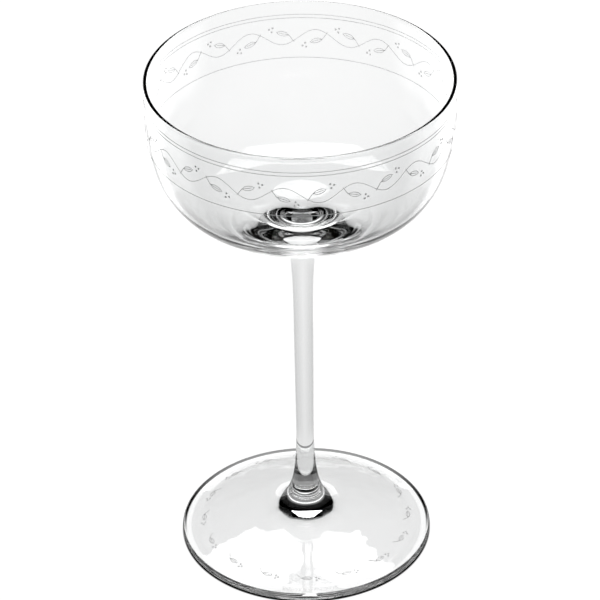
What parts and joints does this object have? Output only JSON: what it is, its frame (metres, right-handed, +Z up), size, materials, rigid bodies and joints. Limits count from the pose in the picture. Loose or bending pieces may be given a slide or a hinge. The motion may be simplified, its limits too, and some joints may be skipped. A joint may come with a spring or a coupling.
{
  "type": "champagne coupe",
  "caption": "Stemmed champagne coupe of clear glass: wide shallow bowl with a thin fire-polished rim, slim drawn stem and round domed foot, for serving sparkling wine.",
  "frame": {"origin": "on the surface that the coupe stands on, under the middle of the foot", "axes": "+Z up along the stem's axis, X and Y across the rim"},
  "size_m": [0.095, 0.095, 0.1695],
  "materials": {
    "clear_glass": "polished"
  },
  "bodies": {
    "root": {"bowl": "clear_glass", "stem": "clear_glass", "foot": "clear_glass"}
  },
  "joints": []
}
